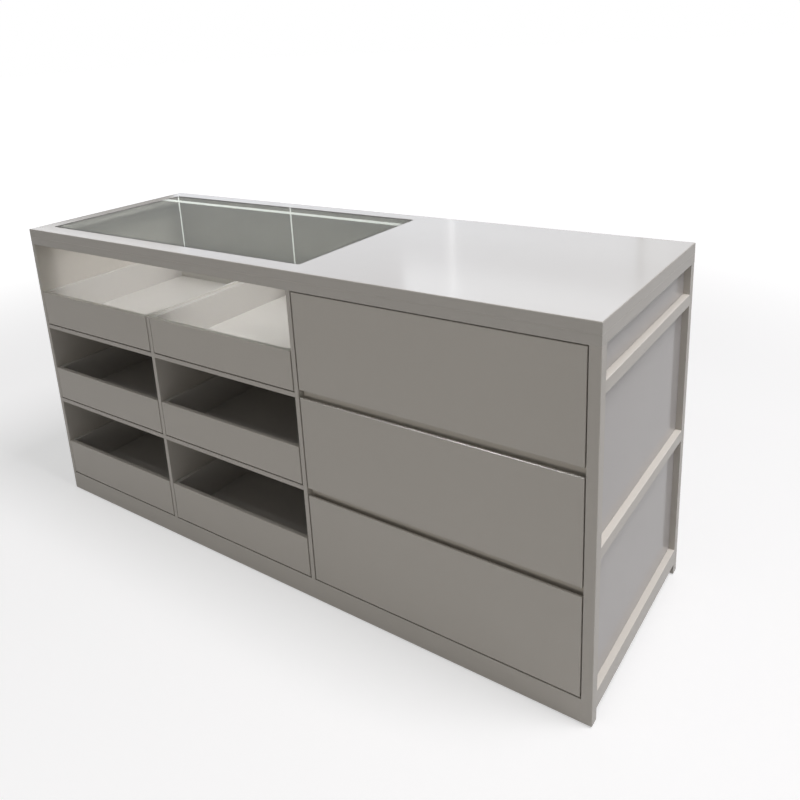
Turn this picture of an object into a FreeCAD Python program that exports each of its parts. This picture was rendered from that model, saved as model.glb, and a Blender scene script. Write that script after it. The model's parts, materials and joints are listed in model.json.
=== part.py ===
import FreeCAD, Part
import os
import re
import Sketcher

# Shop display counter: a glazed display bay with six pull-out trays on the left, three
# drawers with finger channels on the right, and a frame-and-panel right end.
# Millimetres, +Z up, front towards -Y. The origin is the bottom centre of the counter.

doc = FreeCAD.newDocument("display_counter")
sheet = doc.addObject("Spreadsheet::Sheet", "Sizes")

driving_sizes = [
    ("overallWidth", 1800.0, "outside width of the counter"),
    ("overallDepth", 600.0, "outside depth of the counter"),
    ("overallHeight", 900.0, "floor to the top face"),
    ("floorClearance", 4.0, "boards stand this far above the floor, on the feet"),
    ("slabThickness", 25.0, "top board"),
    ("apronHeight", 48.0, "visible band under the top, top board included"),
    ("apronThickness", 22.0, "build-up strips behind the band's face"),
    ("slabEase", 1.2, "eased top edge"),
    ("frontEase", 1.2, "eased edges of the fronts, the rails and the posts' outer corners"),
    ("glassBorderLeft", 50.0, "outer end of the top to the pane's rebate"),
    ("glassBorderFront", 52.0, "front edge of the top to the pane's rebate"),
    ("glassBorderBack", 50.0, "rear edge of the top to the pane's rebate"),
    ("glassOverlapRight", 2.0, "rebate runs this far over the middle divider"),
    ("glassThickness", 8.0, "pane, flush with the top"),
    ("glassLedge", 12.0, "ledge that carries the pane"),
    ("glassGap", 1.0, "pane to rebate wall"),
    ("rebateRadius", 6.0, "inner corners of the rebate"),
    ("endPanelThickness", 12.0, "left end"),
    ("dividerThickness", 12.0, "upright dividers"),
    ("shelfThickness", 12.0, "shelves of the tray bays"),
    ("baseThickness", 18.0, "floor of the carcass"),
    ("backThickness", 6.0, "rear panel"),
    ("backInset", 3.0, "rear plane of the counter to the rear panel"),
    ("backHousing", 6.0, "rear panel's housing in the left end"),
    ("leftBayWidth", 500.0, "clear width of the left tray bay"),
    ("middleBayWidth", 522.0, "clear width of the middle tray bay"),
    ("upperShelfHeight", 579.0, "floor to the upper shelf's underside"),
    ("lowerShelfHeight", 324.0, "floor to the lower shelf's underside"),
    ("plinthHeight", 63.0, "floor to the top of the plinth and the carcass floor"),
    ("plinthThickness", 18.0, "plinth boards"),
    ("plinthLedge", 9.0, "ledge of the front plinth under the carcass floor"),
    ("postWidth", 24.0, "right-hand posts, across the counter"),
    ("postDepth", 25.0, "right-hand posts, front to back"),
    ("postHousing", 12.0, "side panel's lap behind each post"),
    ("sidePanelThickness", 9.0, "right-hand panel inside the frame"),
    ("sidePanelLow", 33.0, "floor to the side panel's lower edge"),
    ("upperRailDrop", 73.0, "underside of the band to the upper side rail"),
    ("middleRailLow", 395.0, "floor to the middle side rail"),
    ("sideRailHeight", 28.0, "upper and middle side rails"),
    ("lowerRailHeight", 44.0, "bottom side rail"),
    ("trayLift", 3.0, "glide strips between shelf and tray"),
    ("glideWidth", 10.0, "width of a glide strip"),
    ("glideSetback", 20.0, "front edge to the glide strips"),
    ("trayLeftGap", 1.0, "tray to the bay wall on its left"),
    ("trayRightGap", 4.5, "tray to the bay wall on its right"),
    ("trayRearGap", 41.0, "closed tray to the rear panel"),
    ("trayWall", 12.0, "tray front and walls"),
    ("upperTrayHeight", 104.0, "trays of the top row"),
    ("middleTrayHeight", 104.0, "trays of the middle row"),
    ("lowerTrayHeight", 115.0, "trays of the bottom row"),
    ("bottomThickness", 6.0, "bottoms of trays and drawers"),
    ("bottomRise", 4.0, "lower edge of a wall to its bottom's groove"),
    ("grooveDepth", 5.0, "bottoms are let into the walls"),
    ("frontThickness", 18.0, "drawer fronts"),
    ("frontGap", 3.0, "gap round the drawer fronts"),
    ("channelHeight", 21.0, "finger channel between two drawer fronts"),
    ("gripFlat", 5.0, "flat left on a front's grip edge in front of its bevel"),
    ("channelRailSetback", 20.0, "front plane to the rail behind a finger channel"),
    ("channelRailThickness", 18.0, "rail behind a finger channel"),
    ("channelRailLap", 18.0, "that rail's lap behind the fronts above and below"),
    ("boxClearance", 5.0, "drawer box to the channel rails"),
    ("boxWall", 15.0, "walls of the drawer boxes"),
    ("boxRearGap", 53.0, "closed drawer box to the rear panel"),
    ("slideWidth", 12.7, "room for the slides on each side of a box"),
    ("slideHeight", 45.0, "outer slide member"),
    ("slideLength", 500.0, "all slide members"),
    ("slideSheet", 1.2, "sheet of the slide members"),
    ("slideGap", 0.3, "running gap between nested slide members"),
    ("slideSetback", 3.0, "back of the drawer front to the slides"),
    ("slideRise", 60.0, "lower edge of a box to its slides"),
    ("footPadRadius", 19.0, "pad of a levelling foot"),
    ("footPadHeight", 7.0, "pad of a levelling foot"),
    ("footStemRadius", 5.0, "stem of a levelling foot"),
    ("footPadSlope", 5.0, "stem to the upper edge of the pad's cone"),
    ("footPlateSide", 52.0, "square plate of a levelling foot under the carcass floor"),
    ("footPlateThickness", 4.0, "plate of a levelling foot"),
    ("footInset", 62.0, "end or plinth face to the centre of a foot"),
]

for row, (alias, size, note) in enumerate(driving_sizes, start=1):
    sheet.set(f"A{row}", note)
    sheet.set(f"B{row}", str(size))
    sheet.setAlias(f"B{row}", alias)
doc.recompute()

aliases = {alias for alias, size, note in driving_sizes}

# Positions and sizes that follow from the driving ones, measured from the left end, the
# front plane and the floor.
derived_sizes = {
    "slabBottom": "overallHeight - slabThickness",
    "bandBottom": "overallHeight - apronHeight",
    "stripHeight": "apronHeight - slabThickness",
    "innerDepth": "overallDepth - backInset - backThickness",
    "centreStart": "endPanelThickness + leftBayWidth",
    "middleBayStart": "centreStart + dividerThickness",
    "middleStart": "middleBayStart + middleBayWidth",
    "drawerBayStart": "middleStart + dividerThickness",
    "postStart": "overallWidth - postWidth",
    "drawerBayWidth": "postStart - drawerBayStart",
    "tierWidth": "middleStart - endPanelThickness",
    "railDepth": "postWidth - sidePanelThickness",
    "upperRailLow": "bandBottom - upperRailDrop - sideRailHeight",
    "betweenPosts": "overallDepth - 2 * postDepth",
    "upperShelfTop": "upperShelfHeight + shelfThickness",
    "lowerShelfTop": "lowerShelfHeight + shelfThickness",
    "baseLow": "plinthHeight - baseThickness",
    "rebateLength": "middleStart + glassOverlapRight - glassBorderLeft",
    "rebateWidth": "overallDepth - glassBorderFront - glassBorderBack",
    "trayDepth": "innerDepth - trayRearGap",
    "boxDepth": "innerDepth - frontThickness - boxRearGap",
    "boxStart": "drawerBayStart + slideWidth",
    "boxWidth": "drawerBayWidth - 2 * slideWidth",
    "boxInset": "channelRailLap + boxClearance",
    "frontHeight": "(bandBottom - plinthHeight - 2 * frontGap - 2 * channelHeight) / 3",
    "boxHeight": "frontHeight - 2 * boxInset",
    "drawerPitch": "frontHeight + channelHeight",
    "upperTrayTop": "upperShelfTop + trayLift + upperTrayHeight",
}


def expand(text):
    """Replace each named size in an expression by its spreadsheet cell."""
    def one_word(match):
        word = match.group(0)
        if word in derived_sizes:
            return "(" + expand(derived_sizes[word]) + ")"
        if word in aliases:
            return "Sizes." + word
        raise ValueError("unknown size " + word)
    return re.sub(r"[A-Za-z]\w*", one_word, text)


def number(text):
    """Present value of an expression, in millimetres."""
    return float(sheet.evalExpression(expand(text)))


def place(item, x, y, z):
    """Bind an object's position, given from the left end, the front plane and the floor."""
    item.setExpression("Placement.Base.x", expand(f"{x} - overallWidth / 2"))
    item.setExpression("Placement.Base.y", expand(f"{y} - overallDepth / 2"))
    item.setExpression("Placement.Base.z", expand(z))


def board(label, start, extent):
    """A plain rectangular board with every size and its position bound."""
    box = doc.addObject("Part::Box", label)
    box.Label = label
    for name, size in zip(("Length", "Width", "Height"), extent):
        box.setExpression(name, expand(size))
    place(box, *start)
    return box


def group(label, members):
    """Several separate solids that make one sub-part."""
    compound = doc.addObject("Part::Compound", label)
    compound.Label = label
    compound.Links = members
    return compound


def origin_plane(body, role):
    for feature in body.Origin.OriginFeatures:
        if feature.Role == role:
            return feature
    raise ValueError("no plane " + role)


def profile(body, role, points):
    """Closed outline on an origin plane, each corner bound to two sizes."""
    sketch = body.newObject("Sketcher::SketchObject", body.Name + "Outline")
    sketch.AttachmentSupport = [(origin_plane(body, role), "")]
    sketch.MapMode = "FlatFace"
    corners = [FreeCAD.Vector(number(u), number(v), 0) for u, v in points]
    count = len(corners)
    for index in range(count):
        sketch.addGeometry(Part.LineSegment(corners[index], corners[(index + 1) % count]))
    for index in range(count):
        following = (index + 1) % count
        sketch.addConstraint(Sketcher.Constraint("Coincident", index, 2, following, 1))
    for index, (u, v) in enumerate(points):
        if u == "0":
            sketch.addConstraint(Sketcher.Constraint("PointOnObject", index, 1, -2))
        else:
            at = sketch.addConstraint(Sketcher.Constraint("DistanceX", -1, 1, index, 1, number(u)))
            sketch.setExpression(f"Constraints[{at}]", expand(u))
        if v == "0":
            sketch.addConstraint(Sketcher.Constraint("PointOnObject", index, 1, -1))
        else:
            at = sketch.addConstraint(Sketcher.Constraint("DistanceY", -1, 1, index, 1, number(v)))
            sketch.setExpression(f"Constraints[{at}]", expand(v))
    return sketch


def rectangle(x0, y0, x1, y1):
    return [(x0, y0), (x1, y0), (x1, y1), (x0, y1)]


def extrusion(label, role, points, length, start):
    """A body padded from one outline. XZ outlines are padded towards the back."""
    body = doc.addObject("PartDesign::Body", label)
    body.Label = label
    sketch = profile(body, role, points)
    pad = body.newObject("PartDesign::Pad", label + "Pad")
    pad.Profile = sketch
    pad.Reversed = role == "XZ_Plane"
    pad.setExpression("Length", expand(length))
    place(body, *start)
    return body


def ease(body, size, wanted):
    """Chamfer the edges of a body's last feature that pass a test."""
    doc.recompute()
    base = body.Tip
    names = []
    for index, edge in enumerate(base.Shape.Edges, start=1):
        if wanted(edge):
            names.append(f"Edge{index}")
    chamfer = body.newObject("PartDesign::Chamfer", body.Name + "Ease")
    chamfer.Base = (base, names)
    chamfer.setExpression("Size", expand(size))
    body.Tip = chamfer
    return body


def on_front_plane(edge):
    return all(abs(vertex.Y) < 1e-4 for vertex in edge.Vertexes)


# ---- top: slab with a rebated opening, pane and build-up strips

def make_slab():
    slab = extrusion("top_slab", "XY_Plane", rectangle("0", "0", "overallWidth", "overallDepth"),
                     "slabThickness", ("0", "0", "slabBottom"))
    doc.recompute()
    full_volume = slab.Shape.Volume
    rebate_corner = ("glassBorderLeft", "glassBorderFront")
    rebate_far = ("glassBorderLeft + rebateLength", "glassBorderFront + rebateWidth")
    rebate = profile(slab, "XY_Plane", rectangle(*rebate_corner, *rebate_far))
    rebate.setExpression("AttachmentOffset.Base.z", expand("slabThickness - glassThickness"))
    rebate_cut = slab.newObject("PartDesign::Pocket", "RebateCut")
    rebate_cut.Profile = rebate
    rebate_cut.Reversed = True
    rebate_cut.setExpression("Length", expand("glassThickness"))
    opening = profile(slab, "XY_Plane", rectangle(
        "glassBorderLeft + glassLedge", "glassBorderFront + glassLedge",
        "glassBorderLeft + rebateLength - glassLedge",
        "glassBorderFront + rebateWidth - glassLedge"))
    opening_cut = slab.newObject("PartDesign::Pocket", "OpeningCut")
    opening_cut.Profile = opening
    opening_cut.Reversed = True
    opening_cut.setExpression("Length", expand("slabThickness"))
    doc.recompute()
    rebate_area = number("rebateLength * rebateWidth")
    opening_area = number("(rebateLength - 2 * glassLedge) * (rebateWidth - 2 * glassLedge)")
    rebate_only = (rebate_area - opening_area) * number("glassThickness")
    removed = rebate_only + opening_area * number("slabThickness")
    if abs(full_volume - slab.Shape.Volume - removed) > 1.0:
        raise RuntimeError("the pockets of the top slab did not cut what they should")
    margin = 1.0
    names = []
    for index, edge in enumerate(opening_cut.Shape.Edges, start=1):
        upright = edge.BoundBox.XLength < 1e-4 and edge.BoundBox.YLength < 1e-4
        inside = margin < edge.BoundBox.XMin < number("overallWidth") - margin
        if upright and inside:
            names.append(f"Edge{index}")
    fillet = slab.newObject("PartDesign::Fillet", "InnerCorners")
    fillet.Base = (opening_cut, names)
    fillet.setExpression("Radius", expand("rebateRadius"))
    slab.Tip = fillet
    return slab


def on_slab_rim(edge):
    top = number("slabThickness")
    box = edge.BoundBox
    at_top = abs(box.ZMin - top) < 1e-4 and abs(box.ZMax - top) < 1e-4
    at_end = box.XLength < 1e-4 and (abs(box.XMin) < 1e-4
                                     or abs(box.XMin - number("overallWidth")) < 1e-4)
    at_side = box.YLength < 1e-4 and (abs(box.YMin) < 1e-4
                                      or abs(box.YMin - number("overallDepth")) < 1e-4)
    return at_top and (at_end or at_side)


top_slab = make_slab()
ease(top_slab, "slabEase", on_slab_rim)


def make_pane():
    pane = extrusion(
        "glass_pane", "XY_Plane",
        rectangle("0", "0", "rebateLength - 2 * glassGap", "rebateWidth - 2 * glassGap"),
        "glassThickness",
        ("glassBorderLeft + glassGap", "glassBorderFront + glassGap",
         "overallHeight - glassThickness"))
    doc.recompute()
    pad = pane.Tip
    names = []
    for index, edge in enumerate(pad.Shape.Edges, start=1):
        if edge.BoundBox.ZLength > number("glassThickness") / 2:
            names.append(f"Edge{index}")
    fillet = pane.newObject("PartDesign::Fillet", "PaneCorners")
    fillet.Base = (pad, names)
    fillet.setExpression("Radius", expand("rebateRadius - glassGap"))
    pane.Tip = fillet
    return pane


parts = [top_slab, make_pane()]

parts.append(board("front_apron", ("0", "0", "bandBottom"),
                   ("overallWidth", "apronThickness", "stripHeight")))
parts.append(board("rear_apron",
                   ("endPanelThickness", "overallDepth - apronThickness", "bandBottom"),
                   ("overallWidth - endPanelThickness", "apronThickness", "stripHeight")))
parts.append(board("right_top_rail", ("postStart", "apronThickness", "bandBottom"),
                   ("postWidth", "overallDepth - 2 * apronThickness", "stripHeight")))

# ---- left end: notched round the front apron, with a housing for the rear panel

end_outline = [("0", "0"), ("overallDepth", "0"),
               ("overallDepth", "slabBottom - floorClearance"),
               ("apronThickness", "slabBottom - floorClearance"),
               ("apronThickness", "bandBottom - floorClearance"),
               ("0", "bandBottom - floorClearance")]
left_end = extrusion("left_end_panel", "YZ_Plane", end_outline, "endPanelThickness",
                     ("0", "0", "floorClearance"))
doc.recompute()
left_end_volume = left_end.Shape.Volume
housing = profile(left_end, "XY_Plane", rectangle(
    "endPanelThickness - backHousing", "innerDepth", "endPanelThickness", "overallDepth"))
housing.setExpression("AttachmentOffset.Base.z", expand("baseLow - floorClearance"))
housing_cut = left_end.newObject("PartDesign::Pocket", "BackHousing")
housing_cut.Profile = housing
housing_cut.Reversed = True
housing_cut.setExpression("Length", expand("bandBottom - baseLow"))
doc.recompute()
housing_volume = number("backHousing * (backInset + backThickness) * (bandBottom - baseLow)")
if abs(left_end_volume - left_end.Shape.Volume - housing_volume) > 1.0:
    raise RuntimeError("the housing of the left end did not cut what it should")
parts.append(left_end)

# ---- right end: two rebated posts, a panel let in behind them, three planted rails

post_height = "bandBottom - floorClearance"
front_post_outline = [("0", "0"), ("postWidth", "0"), ("postWidth", "postDepth"),
                      ("sidePanelThickness", "postDepth"),
                      ("sidePanelThickness", "postDepth - postHousing"),
                      ("0", "postDepth - postHousing")]
rear_post_outline = [("0", "postHousing"), ("sidePanelThickness", "postHousing"),
                     ("sidePanelThickness", "0"), ("postWidth", "0"),
                     ("postWidth", "postDepth"), ("0", "postDepth")]


def post(label, outline, start, outer_depth):
    """A post with its upright outer corner eased."""
    upright = extrusion(label, "XY_Plane", outline, post_height, start)

    def outer_corner(edge):
        box = edge.BoundBox
        at_outside = abs(box.XMin - number("postWidth")) < 1e-4
        return at_outside and abs(box.YMin - outer_depth) < 1e-4 and box.ZLength > 1.0

    return ease(upright, "frontEase", outer_corner)


parts.append(post("right_front_post", front_post_outline, ("postStart", "0", "floorClearance"),
                  0.0))
parts.append(post("right_rear_post", rear_post_outline,
                  ("postStart", "overallDepth - postDepth", "floorClearance"),
                  number("postDepth")))
parts.append(board("right_side_panel",
                   ("postStart", "postDepth - postHousing", "sidePanelLow"),
                   ("sidePanelThickness", "betweenPosts + 2 * postHousing",
                    "bandBottom - sidePanelLow")))


def side_rail(label, low, height):
    """A rail planted on the side panel, its upper outer edge eased."""
    rail = extrusion(label, "XZ_Plane", rectangle("0", "0", "railDepth", height),
                     "betweenPosts", ("postStart + sidePanelThickness", "postDepth", low))

    def upper_outer(edge):
        box = edge.BoundBox
        at_outside = abs(box.XMin - number("railDepth")) < 1e-4
        return box.YLength > 1.0 and at_outside and abs(box.ZMax - number(height)) < 1e-4

    return ease(rail, "frontEase", upper_outer)


parts.append(side_rail("side_rail_upper", "upperRailLow", "sideRailHeight"))
parts.append(side_rail("side_rail_middle", "middleRailLow", "sideRailHeight"))
parts.append(side_rail("side_rail_lower", "sidePanelLow", "lowerRailHeight"))

# ---- uprights and shelves of the tray bays

middle_outline = [("0", "0"), ("innerDepth", "0"),
                  ("innerDepth", "bandBottom - plinthHeight"),
                  ("overallDepth - apronThickness", "bandBottom - plinthHeight"),
                  ("overallDepth - apronThickness", "slabBottom - plinthHeight"),
                  ("apronThickness", "slabBottom - plinthHeight"),
                  ("apronThickness", "bandBottom - plinthHeight"),
                  ("0", "bandBottom - plinthHeight")]
parts.append(extrusion("middle_divider", "YZ_Plane", middle_outline, "dividerThickness",
                       ("middleStart", "0", "plinthHeight")))

for label, low, high in (
        ("centre_divider_upper", "upperShelfTop", "upperTrayTop"),
        ("centre_divider_middle", "lowerShelfTop", "upperShelfHeight"),
        ("centre_divider_lower", "plinthHeight", "lowerShelfHeight")):
    parts.append(board(label, ("centreStart", "0", low),
                       ("dividerThickness", "innerDepth", f"{high} - ({low})")))

for label, low in (("shelf_upper", "upperShelfHeight"), ("shelf_lower", "lowerShelfHeight")):
    parts.append(board(label, ("endPanelThickness", "0", low),
                       ("tierWidth", "innerDepth", "shelfThickness")))

# ---- carcass floor, back and plinth

parts.append(board("base_panel",
                   ("endPanelThickness", "plinthThickness - plinthLedge", "baseLow"),
                   ("postStart - endPanelThickness",
                    "innerDepth - plinthThickness + plinthLedge", "baseThickness")))
parts.append(board("back_panel",
                   ("endPanelThickness - backHousing", "innerDepth", "baseLow"),
                   ("postStart - endPanelThickness + backHousing", "backThickness",
                    "bandBottom - baseLow")))
plinth_outline = [("0", "0"), ("plinthThickness", "0"),
                  ("plinthThickness", "baseLow - floorClearance"),
                  ("plinthThickness - plinthLedge", "baseLow - floorClearance"),
                  ("plinthThickness - plinthLedge", "plinthHeight - floorClearance"),
                  ("0", "plinthHeight - floorClearance")]
parts.append(extrusion("front_plinth", "YZ_Plane", plinth_outline,
                       "postStart - endPanelThickness",
                       ("endPanelThickness", "0", "floorClearance")))
parts.append(board("rear_plinth",
                   ("endPanelThickness", "overallDepth - plinthThickness", "floorClearance"),
                   ("postStart - endPanelThickness", "plinthThickness",
                    "baseLow - floorClearance")))

# ---- rails behind the two finger channels

for label, step in (("channel_rail_lower", "1"), ("channel_rail_upper", "2")):
    channel_low = f"plinthHeight + frontGap + {step} * drawerPitch - channelHeight"
    parts.append(board(label,
                       ("drawerBayStart", "channelRailSetback",
                        f"{channel_low} - channelRailLap"),
                       ("drawerBayWidth", "channelRailThickness",
                        "channelHeight + 2 * channelRailLap")))

# ---- levelling feet: turned pads on stems under the carcass floor

foot_outline = [("0", "0"), ("footPadRadius", "0"),
                ("footStemRadius + footPadSlope", "footPadHeight"),
                ("footStemRadius", "footPadHeight"),
                ("footStemRadius", "baseLow - footPlateThickness"),
                ("0", "baseLow - footPlateThickness")]


def foot(index, x, y):
    """Turned pad and stem with a square plate fused on."""
    turned_body = doc.addObject("PartDesign::Body", f"foot_{index}_turned_body")
    sketch = profile(turned_body, "XZ_Plane", foot_outline)
    turned = turned_body.newObject("PartDesign::Revolution", f"foot_{index}_turned")
    turned.Profile = sketch
    turned.ReferenceAxis = (sketch, ["V_Axis"])
    turned.Angle = 360.0
    place(turned_body, x, y, "0")
    plate = board(f"foot_{index}_plate",
                  (f"{x} - footPlateSide / 2", f"{y} - footPlateSide / 2",
                   "baseLow - footPlateThickness"),
                  ("footPlateSide", "footPlateSide", "footPlateThickness"))
    whole = doc.addObject("Part::Fuse", f"foot_{index}")
    whole.Base = plate
    whole.Tool = turned_body
    return whole


foot_columns = ["endPanelThickness + footInset", "centreStart + dividerThickness / 2",
                "middleStart + dividerThickness / 2", "postStart - footInset"]
foot_rows = ["plinthThickness + footInset", "overallDepth - plinthThickness - footInset"]
feet = []
for x in foot_columns:
    for y in foot_rows:
        feet.append(foot(len(feet) + 1, x, y))
parts.append(group("levelling_feet", feet))


# ---- walls that carry a bottom in a groove

def grooved_wall(label, thickness, length, height, start, groove_side):
    """Upright wall running front to back, grooved for a bottom on its left or right face."""
    top = "bottomRise + bottomThickness"
    if groove_side == "right":
        points = [("0", "0"), (thickness, "0"), (thickness, "bottomRise"),
                  (f"{thickness} - grooveDepth", "bottomRise"),
                  (f"{thickness} - grooveDepth", top), (thickness, top),
                  (thickness, height), ("0", height)]
    else:
        points = [("0", "0"), (thickness, "0"), (thickness, height), ("0", height),
                  ("0", top), ("grooveDepth", top), ("grooveDepth", "bottomRise"),
                  ("0", "bottomRise")]
    return extrusion(label, "XZ_Plane", points, length, start)


def grooved_cross(label, thickness, width, height, start):
    """Upright wall running across, grooved for a bottom on its rear face."""
    top = "bottomRise + bottomThickness"
    points = [("0", "0"), (thickness, "0"), (thickness, "bottomRise"),
              (f"{thickness} - grooveDepth", "bottomRise"),
              (f"{thickness} - grooveDepth", top), (thickness, top),
              (thickness, height), ("0", height)]
    return extrusion(label, "YZ_Plane", points, width, start)


# ---- six pull-out trays on glide strips

tray_rows = [("upper", "upperShelfTop", "upperTrayHeight"),
             ("middle", "lowerShelfTop", "middleTrayHeight"),
             ("lower", "plinthHeight", "lowerTrayHeight")]
tray_columns = [("left", "endPanelThickness", "leftBayWidth"),
                ("right", "middleBayStart", "middleBayWidth")]
glides = []


def tray(row, shelf_top, height, column, bay_start, bay_width):
    name = f"tray_{row}_{column}"
    low = f"{shelf_top} + trayLift"
    start = f"{bay_start} + trayLeftGap"
    width = f"{bay_width} - trayLeftGap - trayRightGap"
    front = grooved_cross(f"{name}_front", "trayWall", width, height, (start, "0", low))
    ease(front, "frontEase", on_front_plane)
    wall_length = "trayDepth - trayWall"
    left = grooved_wall(f"{name}_wall_left", "trayWall", wall_length, height,
                        (start, "trayWall", low), "right")
    right = grooved_wall(f"{name}_wall_right", "trayWall", wall_length, height,
                         (f"{start} + {width} - trayWall", "trayWall", low), "left")
    rear_low = f"{low} + bottomRise + bottomThickness"
    rear = board(f"{name}_wall_rear", (f"{start} + trayWall", "trayDepth - trayWall", rear_low),
                 (f"{width} - 2 * trayWall", "trayWall",
                  f"{height} - bottomRise - bottomThickness"))
    bottom = board(f"{name}_bottom",
                   (f"{start} + trayWall - grooveDepth", "trayWall - grooveDepth",
                    f"{low} + bottomRise"),
                   (f"{width} - 2 * trayWall + 2 * grooveDepth",
                    "trayDepth - trayWall + grooveDepth", "bottomThickness"))
    for side, at in (("a", start), ("b", f"{start} + {width} - glideWidth")):
        glides.append(board(f"{name}_glide_{side}", (at, "glideSetback", shelf_top),
                            ("glideWidth", "trayDepth - glideSetback", "trayLift")))
    return [front, group(f"{name}_walls", [left, right, rear]), bottom]


for row, shelf_top, height in tray_rows:
    for column, bay_start, bay_width in tray_columns:
        parts.extend(tray(row, shelf_top, height, column, bay_start, bay_width))
parts.append(group("tray_glide_strips", glides))


# ---- telescopic slides: three nested channels on each side of a drawer

def channel(label, web_at, lip_at, height, start, mirrored):
    """Channel-shaped member. Its web starts at web_at and its flanges end at lip_at, both
    measured from the carcass wall. A mirrored member serves the right-hand wall."""
    points = [(web_at, "0"), (lip_at, "0"), (lip_at, "slideSheet")]
    inside = f"{web_at} + slideSheet"
    if number(lip_at) < number(web_at):
        inside = f"{web_at} - slideSheet"
    points += [(inside, "slideSheet"), (inside, f"{height} - slideSheet"),
               (lip_at, f"{height} - slideSheet"), (lip_at, height), (web_at, height)]
    if mirrored:
        points = [(f"slideWidth - ({u})", v) for u, v in points]
    return extrusion(label, "XZ_Plane", points, "slideLength", start)


# web face and flange end of each member, and the height it loses inside its neighbour
slide_members = {
    "outer": ("0", "slideWidth - 2 * slideSheet", "0"),
    "middle": ("slideSheet + slideGap", "slideWidth - slideSheet - slideGap",
               "slideSheet + slideGap"),
    "inner": ("slideWidth", "2 * slideSheet + 2 * slideGap", "2 * slideSheet + 2 * slideGap"),
}


def slide_pair(kind, prefix, low):
    web_at, lip_at, inset = slide_members[kind]
    height = f"slideHeight - 2 * ({inset})"
    members = []
    for side, at in (("left", "drawerBayStart"), ("right", "postStart - slideWidth")):
        start = (at, "frontThickness + slideSetback", f"{low} + {inset}")
        members.append(channel(f"{prefix}_{kind}_{side}", web_at, lip_at, height, start,
                               side == "right"))
    return members


# ---- three drawers: bevelled front, grooved box, bottom and slides

def drawer_front(label, low, bevel_edge):
    """Front board with a 45 degree finger bevel behind its upper or lower edge."""
    bevel = "frontThickness - gripFlat"
    if bevel_edge == "upper":
        points = [("0", "0"), ("frontThickness", "0"), ("frontThickness", f"frontHeight - ({bevel})"),
                  ("gripFlat", "frontHeight"), ("0", "frontHeight")]
    else:
        points = [("0", "0"), ("gripFlat", "0"), ("frontThickness", bevel),
                  ("frontThickness", "frontHeight"), ("0", "frontHeight")]
    front = extrusion(label, "YZ_Plane", points, "drawerBayWidth - 2 * frontGap",
                      ("drawerBayStart + frontGap", "0", low))
    return ease(front, "frontEase", on_front_plane)


outer_members = []


def drawer(place_number, steps_up, bevel_edge):
    name = f"drawer_{place_number}"
    low = f"plinthHeight + frontGap + {steps_up} * drawerPitch"
    box_low = f"{low} + boxInset"
    slide_low = f"{box_low} + slideRise"
    front = drawer_front(f"{name}_front", low, bevel_edge)
    left = grooved_wall(f"{name}_wall_left", "boxWall", "boxDepth", "boxHeight",
                        ("boxStart", "frontThickness", box_low), "right")
    right = grooved_wall(f"{name}_wall_right", "boxWall", "boxDepth", "boxHeight",
                         ("boxStart + boxWidth - boxWall", "frontThickness", box_low), "left")
    inner_front = grooved_cross(f"{name}_wall_front", "boxWall", "boxWidth - 2 * boxWall",
                                "boxHeight", ("boxStart + boxWall", "frontThickness", box_low))
    rear = board(f"{name}_wall_rear",
                 ("boxStart + boxWall", "frontThickness + boxDepth - boxWall",
                  f"{box_low} + bottomRise + bottomThickness"),
                 ("boxWidth - 2 * boxWall", "boxWall",
                  "boxHeight - bottomRise - bottomThickness"))
    bottom = board(f"{name}_bottom",
                   ("boxStart + boxWall - grooveDepth",
                    "frontThickness + boxWall - grooveDepth", f"{box_low} + bottomRise"),
                   ("boxWidth - 2 * boxWall + 2 * grooveDepth",
                    "boxDepth - boxWall + grooveDepth", "bottomThickness"))
    outer_members.extend(slide_pair("outer", name, slide_low))
    middle = group(f"{name}_slide_middle", slide_pair("middle", name, slide_low))
    inner = group(f"{name}_slide_inner", slide_pair("inner", name, slide_low))
    return [front, group(f"{name}_walls", [left, right, inner_front, rear]), bottom,
            inner, middle]


for place_number, steps_up, bevel_edge in (("1", "2", "lower"), ("2", "1", "upper"),
                                           ("3", "0", "upper")):
    parts.extend(drawer(place_number, steps_up, bevel_edge))
parts.append(group("cabinet_slide_members", outer_members))

# ---- check every object, then write each sub-part

doc.recompute()
for item in doc.Objects:
    if "Invalid" in item.State or "Error" in item.State:
        raise RuntimeError(item.Label + " failed: " + str(item.State))
for item in parts:
    if item.Shape.isNull() or not item.Shape.isValid():
        raise RuntimeError(item.Label + " has no valid shape")
    if item.Shape.Volume <= 0:
        raise RuntimeError(item.Label + " has no volume")

os.makedirs("parts", exist_ok=True)
for item in parts:
    item.Shape.exportStep(os.path.join("parts", item.Label + ".step"))
print(len(parts), "sub-parts written")
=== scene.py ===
import bpy
import json
import math
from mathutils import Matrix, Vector


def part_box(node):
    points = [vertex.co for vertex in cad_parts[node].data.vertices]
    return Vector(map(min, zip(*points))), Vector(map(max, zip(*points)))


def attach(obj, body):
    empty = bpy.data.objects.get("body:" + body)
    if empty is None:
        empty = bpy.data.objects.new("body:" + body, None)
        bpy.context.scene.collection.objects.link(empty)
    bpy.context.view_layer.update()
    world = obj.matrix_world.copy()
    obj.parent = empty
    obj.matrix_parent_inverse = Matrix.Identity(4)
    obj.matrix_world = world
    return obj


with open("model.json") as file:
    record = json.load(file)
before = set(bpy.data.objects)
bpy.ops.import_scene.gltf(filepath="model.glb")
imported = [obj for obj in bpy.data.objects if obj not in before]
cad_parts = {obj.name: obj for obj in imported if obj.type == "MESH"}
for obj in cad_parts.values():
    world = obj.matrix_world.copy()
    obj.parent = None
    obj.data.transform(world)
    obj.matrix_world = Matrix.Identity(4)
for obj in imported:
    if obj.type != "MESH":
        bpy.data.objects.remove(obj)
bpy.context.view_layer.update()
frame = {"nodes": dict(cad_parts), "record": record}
nodes = frame["nodes"]
print("frame loaded:", len(nodes), "nodes")

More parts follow.
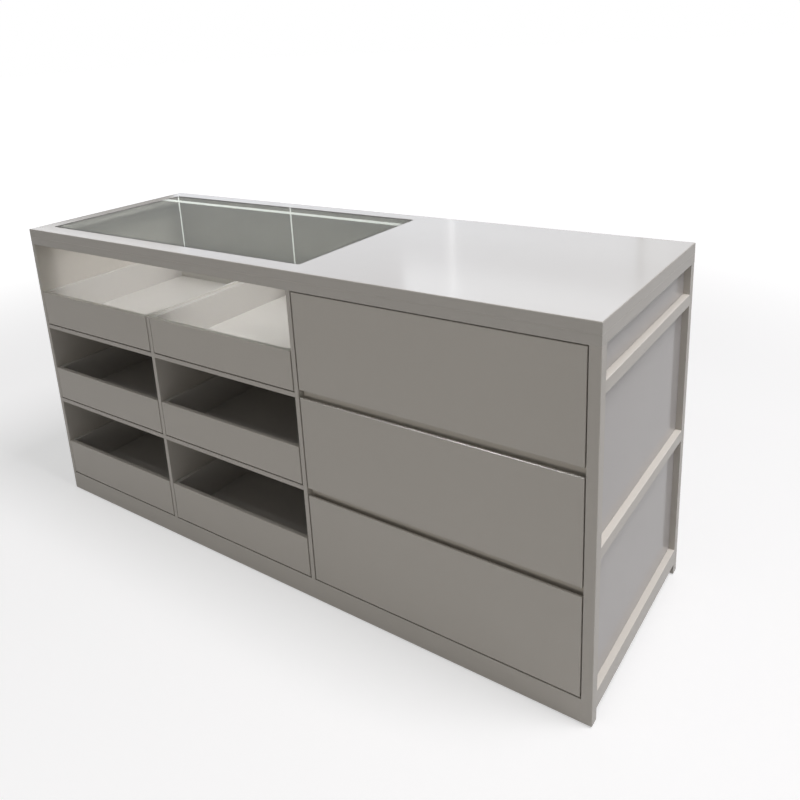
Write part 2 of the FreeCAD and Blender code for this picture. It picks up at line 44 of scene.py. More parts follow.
cameraSet = {
    "place": (1.3615, -1.5808, 1.4015),  # metres
    "turn": (73.478, 3.258, 35.878),     # degrees
    "lens": 35.629,                      # millimetres, as is the sensor
    "sensor": 36.0,
    "shift": (0.03444, -0.15954),
    "clip": (0.05, 200.0),
}

cameraData = bpy.data.cameras.new("viewCamera")
cameraData.sensor_width = cameraSet["sensor"]
cameraData.lens = cameraSet["lens"]
cameraData.shift_x, cameraData.shift_y = cameraSet["shift"]
cameraData.clip_start, cameraData.clip_end = cameraSet["clip"]
viewCamera = bpy.data.objects.new("viewCamera", cameraData)
viewCamera.location = cameraSet["place"]
viewCamera.rotation_euler = [math.radians(angle) for angle in cameraSet["turn"]]
bpy.context.scene.collection.objects.link(viewCamera)
bpy.context.scene.camera = viewCamera
bpy.context.scene.view_settings.view_transform = "Standard"
print("camera set")


# helpers for the node trees: a value given to a socket may be a number or another node's output

def addNode(tree, kind, at=(0, 0), **values):
    node = tree.nodes.new(kind)
    node.location = at
    for key, value in values.items():
        setattr(node, key, value)
    return node


def feed(tree, value, socket):
    if hasattr(value, "is_linked"):
        tree.links.new(value, socket)
    else:
        socket.default_value = value


def mathNode(tree, operation, first, second, at=(0, 0), clamp=False, third=None):
    node = addNode(tree, "ShaderNodeMath", at, operation=operation, use_clamp=clamp)
    feed(tree, first, node.inputs[0])
    feed(tree, second, node.inputs[1])
    if third is not None:
        feed(tree, third, node.inputs[2])
    return node.outputs[0]


def noiseNode(tree, vector, scale, detail, roughness, at=(0, 0), distortion=0.0):
    node = addNode(tree, "ShaderNodeTexNoise", at, noise_dimensions="3D")
    tree.links.new(vector, node.inputs["Vector"])
    feed(tree, scale, node.inputs["Scale"])
    node.inputs["Detail"].default_value = detail
    node.inputs["Roughness"].default_value = roughness
    node.inputs["Distortion"].default_value = distortion
    return node.outputs["Fac"]


def smoothRange(tree, value, fromRange, toRange, at=(0, 0)):
    node = addNode(tree, "ShaderNodeMapRange", at, interpolation_type="SMOOTHSTEP")
    tree.links.new(value, node.inputs["Value"])
    node.inputs["From Min"].default_value, node.inputs["From Max"].default_value = fromRange
    node.inputs["To Min"].default_value, node.inputs["To Max"].default_value = toRange
    return node.outputs["Result"]


def addBump(tree, shader, height, strength, distance):
    bump = addNode(tree, "ShaderNodeBump", (300, -300))
    bump.inputs["Strength"].default_value = strength
    bump.inputs["Distance"].default_value = distance
    tree.links.new(height, bump.inputs["Height"])
    tree.links.new(bump.outputs["Normal"], shader.inputs["Normal"])
    return bump


def toneMix(tree, factor, first, second, target):
    mixed = addNode(tree, "ShaderNodeMix", (-100, 150), data_type="RGBA")
    mixed.inputs["A"].default_value = (*first, 1.0)
    mixed.inputs["B"].default_value = (*second, 1.0)
    tree.links.new(factor, mixed.inputs["Factor"])
    tree.links.new(mixed.outputs["Result"], target)


def newMaterial(name):
    material = bpy.data.materials.new(name)
    material.use_nodes = True
    tree = material.node_tree
    shader = tree.nodes["Principled BSDF"]
    shader.location = (600, 0)
    tree.nodes["Material Output"].location = (1000, 0)
    return material, tree, shader


# sprayed lacquer: a noise is its scale, detail and roughness
spraySet = {
    "cloudNoise": (2.6, 4.0, 0.55), "fineNoise": (38.0, 3.0, 0.6), "fineShare": 0.35,
    "smearNoise": (5.5, 4.0, 0.55), "smearTwist": 0.4,
    "waveNoise": (9.0, 2.0, 0.4), "peelNoise": (420.0, 2.0, 0.5), "peelShare": 0.25,
    "peelDepth": 0.0004, "edgeSamples": 4, "edgeGain": 3.0,
    "dustTone": (0.62, 0.61, 0.58), "dustRoughness": 0.5, "ior": 1.5,
}


def makeSprayGroup():
    # faint cloudy tone, orange peel, wiped patches, and a painted highlight that lightens the
    # colour along the eased edges
    group = bpy.data.node_groups.new("sprayedLacquer", "ShaderNodeTree")
    face = group.interface
    face.new_socket("Tone", in_out="INPUT", socket_type="NodeSocketColor")
    for name, value in (("Cloud", 0.03), ("Gloss", 0.30), ("Smear", 0.08),
                        ("Edge Width", 0.0012), ("Edge Highlight", 0.12), ("Dust", 0.10)):
        socket = face.new_socket(name, in_out="INPUT", socket_type="NodeSocketFloat")
        socket.default_value = value
    face.new_socket("Colour", in_out="OUTPUT", socket_type="NodeSocketColor")
    face.new_socket("Roughness", in_out="OUTPUT", socket_type="NodeSocketFloat")
    face.new_socket("Height", in_out="OUTPUT", socket_type="NodeSocketFloat")
    face.new_socket("Normal", in_out="OUTPUT", socket_type="NodeSocketVector")
    given = addNode(group, "NodeGroupInput", (-1200, 0)).outputs
    out = addNode(group, "NodeGroupOutput", (900, 0)).inputs
    link = group.links.new
    place = addNode(group, "ShaderNodeTexCoord", (-1200, -500)).outputs["Object"]
    cloud = noiseNode(group, place, *spraySet["cloudNoise"], (-900, 200))
    fine = noiseNode(group, place, *spraySet["fineNoise"], (-900, 0))
    smear = noiseNode(group, place, *spraySet["smearNoise"], (-900, -200),
                      spraySet["smearTwist"])
    peel = noiseNode(group, place, *spraySet["peelNoise"], (-900, -400))
    wave = noiseNode(group, place, *spraySet["waveNoise"], (-900, -600))

    # tone: cloud and fine grain, both centred on no change
    cloudPart = mathNode(group, "SUBTRACT", cloud, 0.5, (-700, 200))
    fineCentred = mathNode(group, "SUBTRACT", fine, 0.5, (-700, 50))
    finePart = mathNode(group, "MULTIPLY", fineCentred, spraySet["fineShare"], (-560, 50))
    both = mathNode(group, "ADD", cloudPart, finePart, (-420, 150))
    shade = mathNode(group, "MULTIPLY_ADD", both, given["Cloud"], (-280, 150), third=1.0)

    # painted highlight along the edges: where the rounded normal leaves the flat one, the
    # colour is lightened
    rounded = addNode(group, "ShaderNodeBevel", (-900, -800), samples=spraySet["edgeSamples"])
    link(given["Edge Width"], rounded.inputs["Radius"])
    flat = addNode(group, "ShaderNodeNewGeometry", (-900, -950)).outputs["Normal"]
    facing = addNode(group, "ShaderNodeVectorMath", (-700, -850), operation="DOT_PRODUCT")
    link(rounded.outputs["Normal"], facing.inputs[0])
    link(flat, facing.inputs[1])
    turned = mathNode(group, "SUBTRACT", 1.0, facing.outputs["Value"], (-520, -850), True)
    edge = mathNode(group, "MULTIPLY", turned, spraySet["edgeGain"], (-380, -850), True)
    lift = mathNode(group, "MULTIPLY", edge, given["Edge Highlight"], (-240, -850))
    total = mathNode(group, "ADD", shade, lift, (-100, 150))
    scaled = addNode(group, "ShaderNodeVectorMath", (60, 150), operation="SCALE")
    link(given["Tone"], scaled.inputs[0])
    link(total, scaled.inputs["Scale"])

    # dust: a thin pale film that settles on faces turned up
    upward = addNode(group, "ShaderNodeSeparateXYZ", (-700, -1050))
    link(flat, upward.inputs[0])
    raised = mathNode(group, "MAXIMUM", upward.outputs["Z"], 0.0, (-520, -1050))
    level = mathNode(group, "MULTIPLY", raised, given["Dust"], (-380, -1050))
    film = mathNode(group, "MULTIPLY", level, smear, (-240, -1050), True)
    dusty = addNode(group, "ShaderNodeMix", (260, 150), data_type="RGBA")
    link(film, dusty.inputs["Factor"])
    link(scaled.outputs[0], dusty.inputs["A"])
    dusty.inputs["B"].default_value = (*spraySet["dustTone"], 1.0)
    link(dusty.outputs["Result"], out["Colour"])

    # roughness: wiped patches, a little more where dust lies
    smearCentred = mathNode(group, "SUBTRACT", smear, 0.5, (-700, -200))
    patch = mathNode(group, "MULTIPLY", smearCentred, given["Smear"], (-560, -200))
    wiped = mathNode(group, "ADD", given["Gloss"], patch, (-420, -200))
    dull = mathNode(group, "MULTIPLY", film, spraySet["dustRoughness"], (-420, -330))
    link(mathNode(group, "ADD", wiped, dull, (-280, -200), True), out["Roughness"])

    # height: orange peel over the slow wave of the board
    fineRelief = mathNode(group, "MULTIPLY", peel, spraySet["peelShare"], (-560, -450))
    link(mathNode(group, "ADD", fineRelief, wave, (-420, -500)), out["Height"])
    link(rounded.outputs["Normal"], out["Normal"])
    return group


sprayGroup = makeSprayGroup()


def makeLacquer(name, finish):
    material, tree, shader = newMaterial(name)
    spray = addNode(tree, "ShaderNodeGroup", (0, 0), node_tree=sprayGroup)
    spray.inputs["Tone"].default_value = (*finish["tone"], 1.0)
    for key, socket in (("gloss", "Gloss"), ("smear", "Smear"), ("edgeWidth", "Edge Width"),
                        ("edgeHighlight", "Edge Highlight"), ("dust", "Dust")):
        if key in finish:
            spray.inputs[socket].default_value = finish[key]
    bump = addBump(tree, shader, spray.outputs["Height"], finish["peel"], spraySet["peelDepth"])
    tree.links.new(spray.outputs["Normal"], bump.inputs["Normal"])
    tree.links.new(spray.outputs["Colour"], shader.inputs["Base Color"])
    tree.links.new(spray.outputs["Roughness"], shader.inputs["Roughness"])
    shader.inputs["IOR"].default_value = spraySet["ior"]
    return material


# what isn't given here keeps the group's own value
# the edge values set how far each copy's colour is lightened along its edges, a painted
# highlight
lacquerSet = {
    "carcass": {"tone": (0.548, 0.516, 0.468), "gloss": 0.20, "smear": 0.05, "peel": 0.08,
                "edgeHighlight": 0.30},
    "top": {"tone": (0.535, 0.508, 0.466), "gloss": 0.12, "smear": 0.06, "peel": 0.05,
            "edgeWidth": 0.002, "edgeHighlight": 0.50, "dust": 0.05},
    # painted light: this copy of the one lacquer is a little cooler, standing in for the cooler
    # light on the right end
    "side": {"tone": (0.540, 0.518, 0.505), "gloss": 0.13, "smear": 0.06, "peel": 0.05},
    "front": {"tone": (0.548, 0.516, 0.465), "gloss": 0.20, "smear": 0.05, "peel": 0.08,
              "edgeWidth": 0.0018, "edgeHighlight": 0.50},
    # painted light: this copy is a little lighter and cooler than the fronts, standing in for
    # the light that falls through the pane
    "tray": {"tone": (0.572, 0.550, 0.515), "gloss": 0.20, "smear": 0.05, "peel": 0.06,
             "edgeHighlight": 0.55},
    "drawerBox": {"tone": (0.572, 0.555, 0.525), "gloss": 0.28, "smear": 0.05, "peel": 0.08},
}
lacquers = {name: makeLacquer(name + "Lacquer", finish) for name, finish in lacquerSet.items()}
print("lacquers made")

glassSet = {"tint": (0.60, 0.63, 0.59), "shadowTint": (0.86, 0.86, 0.88), "ior": 1.5,
            "smearNoise": (7.0, 5.0, 0.6), "smearTwist": 1.2, "smearRoughness": 0.008,
            "rippleNoise": (1.6, 1.0, 0.4), "ripple": 0.02, "rippleDepth": 0.002}


def makeGlass():
    material, tree, shader = newMaterial("paneGlass")
    place = addNode(tree, "ShaderNodeTexCoord", (-600, 0)).outputs["Object"]
    smear = noiseNode(tree, place, *glassSet["smearNoise"], (-400, 0), glassSet["smearTwist"])
    rough = mathNode(tree, "MULTIPLY", smear, glassSet["smearRoughness"], (-200, 0))
    tree.links.new(rough, shader.inputs["Roughness"])
    ripple = noiseNode(tree, place, *glassSet["rippleNoise"], (-400, -250))
    addBump(tree, shader, ripple, glassSet["ripple"], glassSet["rippleDepth"])
    shader.inputs["Base Color"].default_value = (*glassSet["tint"], 1.0)
    shader.inputs["Transmission Weight"].default_value = 1.0
    shader.inputs["IOR"].default_value = glassSet["ior"]

    # lamps shine through the pane onto the trays
    clear = addNode(tree, "ShaderNodeBsdfTransparent", (600, -300))
    clear.inputs["Color"].default_value = (*glassSet["shadowTint"], 1.0)
    rays = addNode(tree, "ShaderNodeLightPath", (600, 400))
    pick = addNode(tree, "ShaderNodeMixShader", (820, 100))
    tree.links.new(rays.outputs["Is Shadow Ray"], pick.inputs[0])
    tree.links.new(shader.outputs[0], pick.inputs[1])
    tree.links.new(clear.outputs[0], pick.inputs[2])
    tree.links.new(pick.outputs[0], tree.nodes["Material Output"].inputs["Surface"])
    return material


steelSet = {"darkTone": (0.48, 0.49, 0.50), "lightTone": (0.66, 0.67, 0.68),
            "spangleNoise": (60.0, 3.0, 0.5), "rollNoise": (900.0, 2.0, 0.6),
            "rollStretch": (1.0, 0.02, 1.0),  # rolling marks run along the slide
            "roughness": 0.24, "rollRoughness": 0.20, "rollBump": 0.15, "rollDepth": 0.0001}


def makeSteel():
    material, tree, shader = newMaterial("slideSteel")
    place = addNode(tree, "ShaderNodeTexCoord", (-900, 0)).outputs["Object"]
    drawn = addNode(tree, "ShaderNodeMapping", (-700, 0))
    drawn.inputs["Scale"].default_value = steelSet["rollStretch"]
    tree.links.new(place, drawn.inputs["Vector"])
    rolled = noiseNode(tree, drawn.outputs[0], *steelSet["rollNoise"], (-500, 0))
    spangle = noiseNode(tree, place, *steelSet["spangleNoise"], (-500, -200))
    toneMix(tree, spangle, steelSet["darkTone"], steelSet["lightTone"],
            shader.inputs["Base Color"])
    rough = mathNode(tree, "MULTIPLY_ADD", rolled, steelSet["rollRoughness"], (-250, 0),
                     third=steelSet["roughness"])
    tree.links.new(rough, shader.inputs["Roughness"])
    addBump(tree, shader, rolled, steelSet["rollBump"], steelSet["rollDepth"])
    shader.inputs["Metallic"].default_value = 1.0
    return material


plasticSet = {"nylon": {"tone": (0.74, 0.73, 0.70), "roughness": 0.35},
              "foot": {"tone": (0.035, 0.035, 0.036), "roughness": 0.45},
              "grainNoise": (700.0, 2.0, 0.5), "scuffNoise": (30.0, 4.0, 0.65),
              "scuffDarker": 0.9, "scuffLighter": 1.1, "scuffHaze": 0.01,
              "scuffRoughness": 0.2, "grainBump": 0.2, "grainDepth": 0.0002}


def makePlastic(name, plastic):
    material, tree, shader = newMaterial(name)
    place = addNode(tree, "ShaderNodeTexCoord", (-600, 0)).outputs["Object"]
    grain = noiseNode(tree, place, *plasticSet["grainNoise"], (-400, 0))
    scuff = noiseNode(tree, place, *plasticSet["scuffNoise"], (-400, -200))
    dark = [part * plasticSet["scuffDarker"] for part in plastic["tone"]]
    light = [min(1.0, part * plasticSet["scuffLighter"] + plasticSet["scuffHaze"])
             for part in plastic["tone"]]
    toneMix(tree, scuff, dark, light, shader.inputs["Base Color"])
    rough = mathNode(tree, "MULTIPLY_ADD", scuff, plasticSet["scuffRoughness"], (-250, -200),
                     third=plastic["roughness"])
    tree.links.new(rough, shader.inputs["Roughness"])
    addBump(tree, shader, grain, plasticSet["grainBump"], plasticSet["grainDepth"])
    return material


slideSteel = makeSteel()
finishBySlot = {
    "lacquer_carcass": lacquers["carcass"], "lacquer_top": lacquers["top"],
    "lacquer_side": lacquers["side"], "lacquer_front": lacquers["front"],
    "lacquer_tray": lacquers["tray"], "lacquer_drawer_box": lacquers["drawerBox"],
    "glass": makeGlass(), "slide_steel": slideSteel,
    "glide_nylon": makePlastic("glideNylon", plasticSet["nylon"]),
    "foot_plastic": makePlastic("footPlastic", plasticSet["foot"]),
}
print("glass, steel and plastics made")

for part in frame["record"]["subparts"]:
    piece = nodes[part["node"]]
    finish = finishBySlot[part["material_slot"]]
    if not piece.data.materials:
        piece.data.materials.append(finish)
    for slot in piece.material_slots:
        slot.material = finish
print("finishes given to", len(nodes), "nodes")

# screws with domed heads and a cross recess, grown from points; sizes in metres
screwSet = {
    "sizes": {"Head Radius": 0.0035, "Drum Height": 0.0008, "Dome Height": 0.0009,
              "Cross Length": 0.0038, "Cross Width": 0.0009, "Cross Depth": 0.0011},
    # the drum, then two rings that round it over: what it rises by, its share, its taper
    "rings": (("Drum Height", 1.0, 1.0), ("Dome Height", 0.62, 0.86),
              ("Dome Height", 0.38, 0.74)),
    "sides": 20, "weld": 0.00001, "seed": 11,
}


def makeScrewTree():
    # each head turns towards its point's "facing"
    tree = bpy.data.node_groups.new("screwField", "GeometryNodeTree")
    face = tree.interface
    face.new_socket("Geometry", in_out="INPUT", socket_type="NodeSocketGeometry")
    for name in screwSet["sizes"]:
        face.new_socket(name, in_out="INPUT", socket_type="NodeSocketFloat")
    face.new_socket("Seed", in_out="INPUT", socket_type="NodeSocketInt")
    face.new_socket("Steel", in_out="INPUT", socket_type="NodeSocketMaterial")
    face.new_socket("Geometry", in_out="OUTPUT", socket_type="NodeSocketGeometry")
    given = addNode(tree, "NodeGroupInput", (-1600, 0)).outputs
    out = addNode(tree, "NodeGroupOutput", (1400, 0))
    link = tree.links.new

    disc = addNode(tree, "GeometryNodeMeshCircle", (-1300, 200), fill_type="NGON")
    disc.inputs["Vertices"].default_value = screwSet["sides"]
    link(given["Head Radius"], disc.inputs["Radius"])
    shape = disc.outputs["Mesh"]
    selection = None
    for step, (size, share, taper) in enumerate(screwSet["rings"]):
        across = -1050 + 420 * step
        rise = addNode(tree, "GeometryNodeExtrudeMesh", (across, 200), mode="FACES")
        rise.inputs["Individual"].default_value = False
        link(shape, rise.inputs["Mesh"])
        if selection:
            link(selection, rise.inputs["Selection"])
        link(mathNode(tree, "MULTIPLY", given[size], share, (across, -50)),
             rise.inputs["Offset Scale"])
        pull = addNode(tree, "GeometryNodeScaleElements", (across + 200, 200), domain="FACE")
        pull.inputs["Scale"].default_value = taper
        link(rise.outputs["Mesh"], pull.inputs["Geometry"])
        link(rise.outputs["Top"], pull.inputs["Selection"])
        shape, selection = pull.outputs["Geometry"], rise.outputs["Top"]
    underside = addNode(tree, "GeometryNodeFlipFaces", (-1050, 420))
    link(disc.outputs["Mesh"], underside.inputs[0])
    whole = addNode(tree, "GeometryNodeJoinGeometry", (250, 300))
    link(shape, whole.inputs[0])
    link(underside.outputs[0], whole.inputs[0])
    closed = addNode(tree, "GeometryNodeMergeByDistance", (400, 300))
    closed.inputs["Distance"].default_value = screwSet["weld"]
    link(whole.outputs[0], closed.inputs["Geometry"])

    # the cross: two bars sunk from the top of the head
    top = mathNode(tree, "ADD", given["Drum Height"], given["Dome Height"], (-900, -300))
    lift = addNode(tree, "ShaderNodeCombineXYZ", (-700, -300))
    link(top, lift.inputs["Z"])
    barHeight = mathNode(tree, "MULTIPLY", given["Cross Depth"], 2.0, (-900, -450))
    cut = addNode(tree, "GeometryNodeMeshBoolean", (600, 300), operation="DIFFERENCE")
    link(closed.outputs["Geometry"], cut.inputs["Mesh 1"])
    for along, across in (("X", "Y"), ("Y", "X")):
        size = addNode(tree, "ShaderNodeCombineXYZ", (-700, -450))
        link(given["Cross Length"], size.inputs[along])
        link(given["Cross Width"], size.inputs[across])
        link(barHeight, size.inputs["Z"])
        bar = addNode(tree, "GeometryNodeMeshCube", (-500, -450))
        link(size.outputs[0], bar.inputs["Size"])
        moved = addNode(tree, "GeometryNodeTransform", (-300, -450))
        link(bar.outputs["Mesh"], moved.inputs["Geometry"])
        link(lift.outputs[0], moved.inputs["Translation"])
        link(moved.outputs["Geometry"], cut.inputs["Mesh 2"])

    # one head on each point, spun by chance about its own axis
    facing = addNode(tree, "GeometryNodeInputNamedAttribute", (0, -300),
                     data_type="FLOAT_VECTOR")
    facing.inputs["Name"].default_value = "facing"
    aimed = addNode(tree, "FunctionNodeAlignRotationToVector", (250, -300), axis="Z")
    link(facing.outputs["Attribute"], aimed.inputs["Vector"])
    chance = addNode(tree, "FunctionNodeRandomValue", (0, -550), data_type="FLOAT")
    chance.inputs[3].default_value = math.pi  # the largest spin
    link(given["Seed"], chance.inputs["Seed"])
    spin = addNode(tree, "ShaderNodeCombineXYZ", (250, -550))
    link(chance.outputs[1], spin.inputs["Z"])
    spun = addNode(tree, "FunctionNodeEulerToRotation", (400, -550))
    link(spin.outputs[0], spun.inputs[0])
    turned = addNode(tree, "FunctionNodeRotateRotation", (560, -350), rotation_space="LOCAL")
    link(aimed.outputs[0], turned.inputs["Rotation"])
    link(spun.outputs[0], turned.inputs["Rotate By"])
    placed = addNode(tree, "GeometryNodeInstanceOnPoints", (800, 0))
    link(given["Geometry"], placed.inputs["Points"])
    link(cut.outputs["Mesh"], placed.inputs["Instance"])
    link(turned.outputs[0], placed.inputs["Rotation"])
    real = addNode(tree, "GeometryNodeRealizeInstances", (1000, 0))
    link(placed.outputs["Instances"], real.inputs[0])
    finish = addNode(tree, "GeometryNodeSetMaterial", (1200, 0))
    link(real.outputs[0], finish.inputs["Geometry"])
    link(given["Steel"], finish.inputs["Material"])
    link(finish.outputs[0], out.inputs[0])
    return tree


screwTree = makeScrewTree()


def makeScrews(name, body, spots):
    # spots: (place, facing) pairs, in metres
    pointMesh = bpy.data.meshes.new(name + "Points")
    pointMesh.from_pydata([place for place, facing in spots], [], [])
    facings = pointMesh.attributes.new("facing", "FLOAT_VECTOR", "POINT")
    facings.data.foreach_set("vector", [part for place, facing in spots for part in facing])
    grower = bpy.data.objects.new(name + "Points", pointMesh)
    bpy.context.scene.collection.objects.link(grower)
    field = grower.modifiers.new("screwField", "NODES")
    field.node_group = screwTree
    wanted = {**screwSet["sizes"], "Seed": screwSet["seed"], "Steel": slideSteel}
    for socket in screwTree.interface.items_tree:
        if socket.in_out == "INPUT" and socket.name in wanted:
            field[socket.identifier] = wanted[socket.name]
    grown = grower.evaluated_get(bpy.context.evaluated_depsgraph_get())
    mesh = bpy.data.meshes.new_from_object(grown)
    grower.modifiers.remove(field)
    bpy.data.objects.remove(grower)
    mesh.name = name
    screws = bpy.data.objects.new(name, mesh)
    bpy.context.scene.collection.objects.link(screws)
    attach(screws, body)


# rows along the edges that the rear panel is fixed to: first point (x, z), step, how many
rearScrewRows = {
    "base": ((-0.840, 0.054), (0.210, 0.0), 9),
    "lowerShelf": ((-0.800, 0.330), (0.220, 0.0), 5),
    "upperShelf": ((-0.800, 0.585), (0.220, 0.0), 5),
    "leftEnd": ((-0.8898, 0.100), (0.0, 0.140), 6),
    "centreDivider": ((-0.382, 0.100), (0.0, 0.140), 5),
    "middleDivider": ((0.152, 0.110), (0.0, 0.135), 6),
}
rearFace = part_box("back_panel")[1][1]
rearSpots = []
for (x, z), (stepX, stepZ), count in rearScrewRows.values():
    for index in range(count):
        rearSpots.append(((x + stepX * index, rearFace, z + stepZ * index), (0.0, 1.0, 0.0)))
makeScrews("rearPanelScrews", "carcass", rearSpots)

# in each drawer: the slides' inner members on the box, and the front on the box's front wall
drawerScrewSet = {"slideFromFront": (0.035, 0.250, 0.465), "slideSheet": 0.0012,
                  "frontInset": 0.090, "frontFromBottom": 0.063, "frontFromTop": 0.045,
                  "boxWall": 0.015}


def drawerSpots(drawer):
    low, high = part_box(drawer + "_walls")
    slideLow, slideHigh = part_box(drawer + "_slide_inner")
    slideMiddle = (slideLow[2] + slideHigh[2]) / 2.0
    spots = []
    for along in drawerScrewSet["slideFromFront"]:
        for edge, outward in ((low[0], -1.0), (high[0], 1.0)):
            web = edge + outward * drawerScrewSet["slideSheet"]
            spots.append(((web, slideLow[1] + along, slideMiddle), (outward, 0.0, 0.0)))
    wallBack = low[1] + drawerScrewSet["boxWall"]
    for x in (low[0] + drawerScrewSet["frontInset"], high[0] - drawerScrewSet["frontInset"]):
        for z in (low[2] + drawerScrewSet["frontFromBottom"],
                  high[2] - drawerScrewSet["frontFromTop"]):
            spots.append(((x, wallBack, z), (0.0, 1.0, 0.0)))
    return spots


for drawer in ("drawer_1", "drawer_2", "drawer_3"):
    makeScrews(drawer + "_screws", drawer, drawerSpots(drawer))
print("screws grown")

# the floor glows to white with distance for the camera, and less in polished faces;
# the sky is white to the camera, and polished faces see it dim towards the ceiling
stageSet = {"floorTone": 0.58, "floorSize": 120.0, "floorGlow": (0.50, 0.88),
            "floorFade": (1.8, 5.0), "floorGloss": 0.19, "skyLevel": 0.24,
            "skyGloss": (1.0, 0.20), "skyFade": (0.03, 0.13)}


def makeFloor():
    half = stageSet["floorSize"] / 2.0
    mesh = bpy.data.meshes.new("studioFloor")
    mesh.from_pydata([(-half, -half, 0), (half, -half, 0), (half, half, 0), (-half, half, 0)],
                     [], [(0, 1, 2, 3)])
    floor = bpy.data.objects.new("studioFloor", mesh)
    bpy.context.scene.collection.objects.link(floor)
    material, tree, shader = newMaterial("floorPaint")
    tree.nodes.remove(shader)
    paint = addNode(tree, "ShaderNodeBsdfDiffuse", (300, 100))
    paint.inputs["Color"].default_value = (*[stageSet["floorTone"]] * 3, 1.0)
    rays = addNode(tree, "ShaderNodeLightPath", (-400, -100)).outputs
    spot = addNode(tree, "ShaderNodeTexCoord", (-800, -400)).outputs["Object"]
    away = addNode(tree, "ShaderNodeVectorMath", (-600, -400), operation="LENGTH")
    tree.links.new(spot, away.inputs[0])
    fade = smoothRange(tree, away.outputs["Value"], stageSet["floorFade"],
                       stageSet["floorGlow"], (-400, -400))
    bounced = mathNode(tree, "MAXIMUM", rays["Is Glossy Ray"], rays["Is Transmission Ray"],
                       (-200, -200))
    reflected = mathNode(tree, "MULTIPLY", bounced, stageSet["floorGloss"], (-50, -250))
    seen = mathNode(tree, "MULTIPLY", rays["Is Camera Ray"], fade, (-50, -400))
    glow = addNode(tree, "ShaderNodeEmission", (300, -100))
    tree.links.new(mathNode(tree, "MAXIMUM", seen, reflected, (100, -300)),
                   glow.inputs["Strength"])
    both = addNode(tree, "ShaderNodeAddShader", (600, 0))
    tree.links.new(paint.outputs[0], both.inputs[0])
    tree.links.new(glow.outputs[0], both.inputs[1])
    tree.links.new(both.outputs[0], tree.nodes["Material Output"].inputs["Surface"])
    mesh.materials.append(material)


def makeSky():
    world = bpy.data.worlds.new("studioSky")
    bpy.context.scene.world = world
    world.use_nodes = True
    tree = world.node_tree
    background = tree.nodes["Background"]
    background.inputs["Color"].default_value = (1.0, 1.0, 1.0, 1.0)
    rays = addNode(tree, "ShaderNodeLightPath", (-1000, 200)).outputs
    aim = addNode(tree, "ShaderNodeTexCoord", (-1400, -200)).outputs["Generated"]
    parts = addNode(tree, "ShaderNodeSeparateXYZ", (-1200, -200))
    tree.links.new(aim, parts.inputs[0])
    rise = smoothRange(tree, parts.outputs["Z"], stageSet["skyFade"], stageSet["skyGloss"],
                       (-1000, -200))
    glossy = mathNode(tree, "MULTIPLY", rays["Is Glossy Ray"], rise, (-800, -100))
    clear = mathNode(tree, "MAXIMUM", rays["Is Camera Ray"], rays["Is Transmission Ray"],
                     (-800, 100))
    bright = mathNode(tree, "MAXIMUM", clear, glossy, (-600, 0))
    level = mathNode(tree, "MAXIMUM", bright, stageSet["skyLevel"], (-400, 0))
    tree.links.new(level, background.inputs["Strength"])


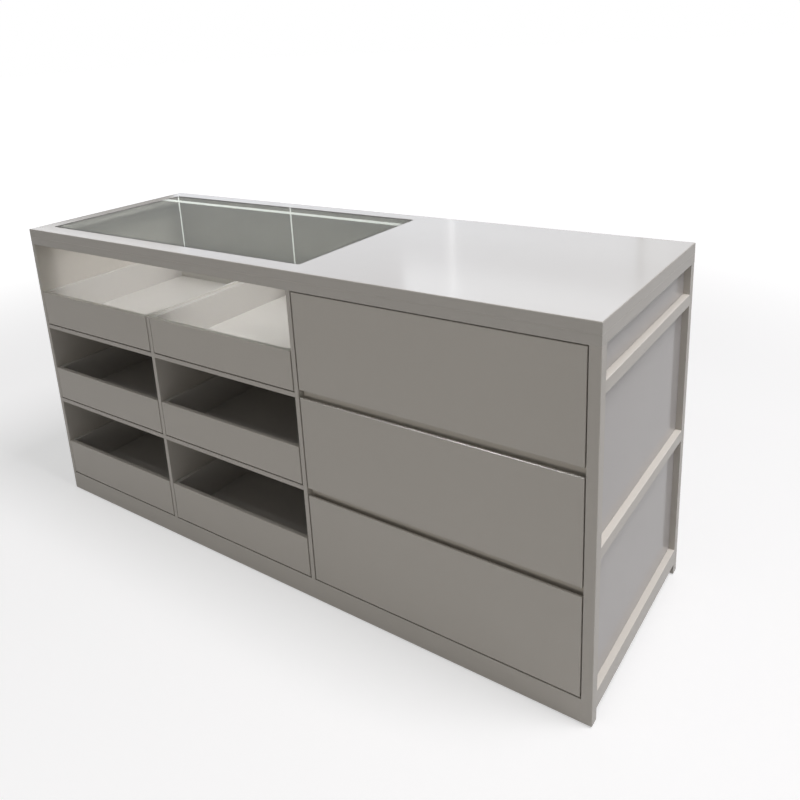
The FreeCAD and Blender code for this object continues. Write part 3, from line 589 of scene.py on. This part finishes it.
# areas of light: "mirrored" False leaves a lamp out of reflections, "lighting" False keeps it
# to them, and "reach" names the only nodes that it touches
lampSet = {
    "highRight": {"place": (3.3, 0.4, 6.9), "aim": (0.2, 0.0, 0.6), "size": (2.2, 3.0),
                  "watts": 306.0, "tint": (0.985, 0.965, 0.985)},
    "frontSoft": {"place": (0.6, -4.2, 0.9), "aim": (0.1, 0.0, 0.4), "size": (3.4, 1.4),
                  "watts": 13.0, "tint": (1.0, 0.95, 0.88), "mirrored": False},
    "frontStrip": {"place": (-0.8, -1.9, 3.0), "aim": (-0.8, -0.3, 0.6), "size": (4.2, 0.05),
                   "watts": 4.0, "tint": (1.0, 0.99, 0.97)},
    # the sheen on the top board
    "rearSheen": {"place": (-2.7, 3.7, 2.40), "aim": (-2.7, 0.0, 2.40), "size": (4.8, 1.8),
                  "watts": 32.0, "tint": (0.86, 0.905, 1.0), "reach": "board"},
    "rearSheenRight": {"place": (0.28, 3.7, 2.40), "aim": (0.28, 0.0, 2.40),
                       "size": (1.12, 1.8), "watts": 6.9, "tint": (0.88, 0.92, 1.0),
                       "reach": "board"},
    "frontEdgeSheen": {"place": (-0.7, 3.6, 2.72), "aim": (-0.7, 0.0, 2.72),
                       "size": (3.0, 1.0), "watts": 8.5, "tint": (0.92, 0.96, 1.0),
                       "reach": "board"},
    "borderSheen": {"place": (-5.5, 3.7, 2.82), "aim": (-5.5, 0.0, 2.82), "size": (5.8, 0.8),
                    "watts": 30.0, "tint": (0.95, 0.965, 1.0), "reach": "board"},
    # ledges of the right end, finger channels, and the bright edge of the middle drawer
    "ledgeFill": {"place": (1.6, -0.2, 6.9), "aim": (0.6, -0.1, 0.6), "size": (2.0, 2.0),
                  "watts": 235.0, "tint": (0.96, 0.96, 1.0), "mirrored": False,
                  "reach": "ledges"},
    "channelFill": {"place": (0.9, -3.6, 0.9), "aim": (0.5, -0.3, 0.5), "size": (2.0, 0.8),
                    "watts": 14.0, "tint": (1.0, 0.97, 0.92), "mirrored": False,
                    "reach": "channels"},
    "drawerGleam": {"place": (-1.0, -1.6, 3.2), "aim": (0.4, -0.3, 0.6), "size": (4.0, 0.5),
                    "watts": 200.0, "tint": (1.0, 1.0, 1.0), "lighting": False,
                    "reach": "middleDrawer"},
    # thin tubes that the pane mirrors
    "rearStrip": {"place": (-2.2, 3.0, 1.70), "aim": (-2.2, 0.0, 1.70), "size": (4.6, 0.018),
                  "watts": 0.30, "tint": (0.95, 1.0, 0.96)},
    "standStripA": {"place": (-4.18, 3.0, 1.95), "aim": (-4.18, 0.0, 1.95),
                    "size": (0.014, 0.9), "watts": 0.045, "tint": (0.95, 1.0, 0.96)},
    "standStripB": {"place": (-2.85, 3.0, 1.95), "aim": (-2.85, 0.0, 1.95),
                    "size": (0.014, 0.9), "watts": 0.045, "tint": (0.95, 1.0, 0.96)},
    "standStripC": {"place": (-1.37, 3.0, 1.95), "aim": (-1.37, 0.0, 1.95),
                    "size": (0.014, 0.9), "watts": 0.08, "tint": (1.0, 1.0, 1.0)},
}
reachSet = {
    "board": ("top_slab",),
    "ledges": ("side_rail_upper", "side_rail_middle", "side_rail_lower"),
    "channels": ("channel_rail_upper", "channel_rail_lower"),
    "middleDrawer": ("drawer_2_front",),
}


def makeReach(name):
    group = bpy.data.collections.new(name)
    for node in reachSet[name]:
        group.objects.link(nodes[node])
    return group


reachGroups = {name: makeReach(name) for name in reachSet}


def makeLamp(name, values):
    data = bpy.data.lights.new(name, "AREA")
    data.shape = "RECTANGLE"
    data.size, data.size_y = values["size"]
    data.energy = values["watts"]
    data.color = values["tint"]
    lamp = bpy.data.objects.new(name, data)
    lamp.location = values["place"]
    towards = Vector(values["aim"]) - Vector(values["place"])
    lamp.rotation_euler = towards.to_track_quat("-Z", "Y").to_euler()
    lamp.visible_camera = False
    lamp.visible_glossy = values.get("mirrored", True)
    lamp.visible_diffuse = values.get("lighting", True)
    if "reach" in values:
        lamp.light_linking.receiver_collection = reachGroups[values["reach"]]
    bpy.context.scene.collection.objects.link(lamp)


makeFloor()
makeSky()
for name, values in lampSet.items():
    makeLamp(name + "Lamp", values)
print("floor, sky and lamps made")
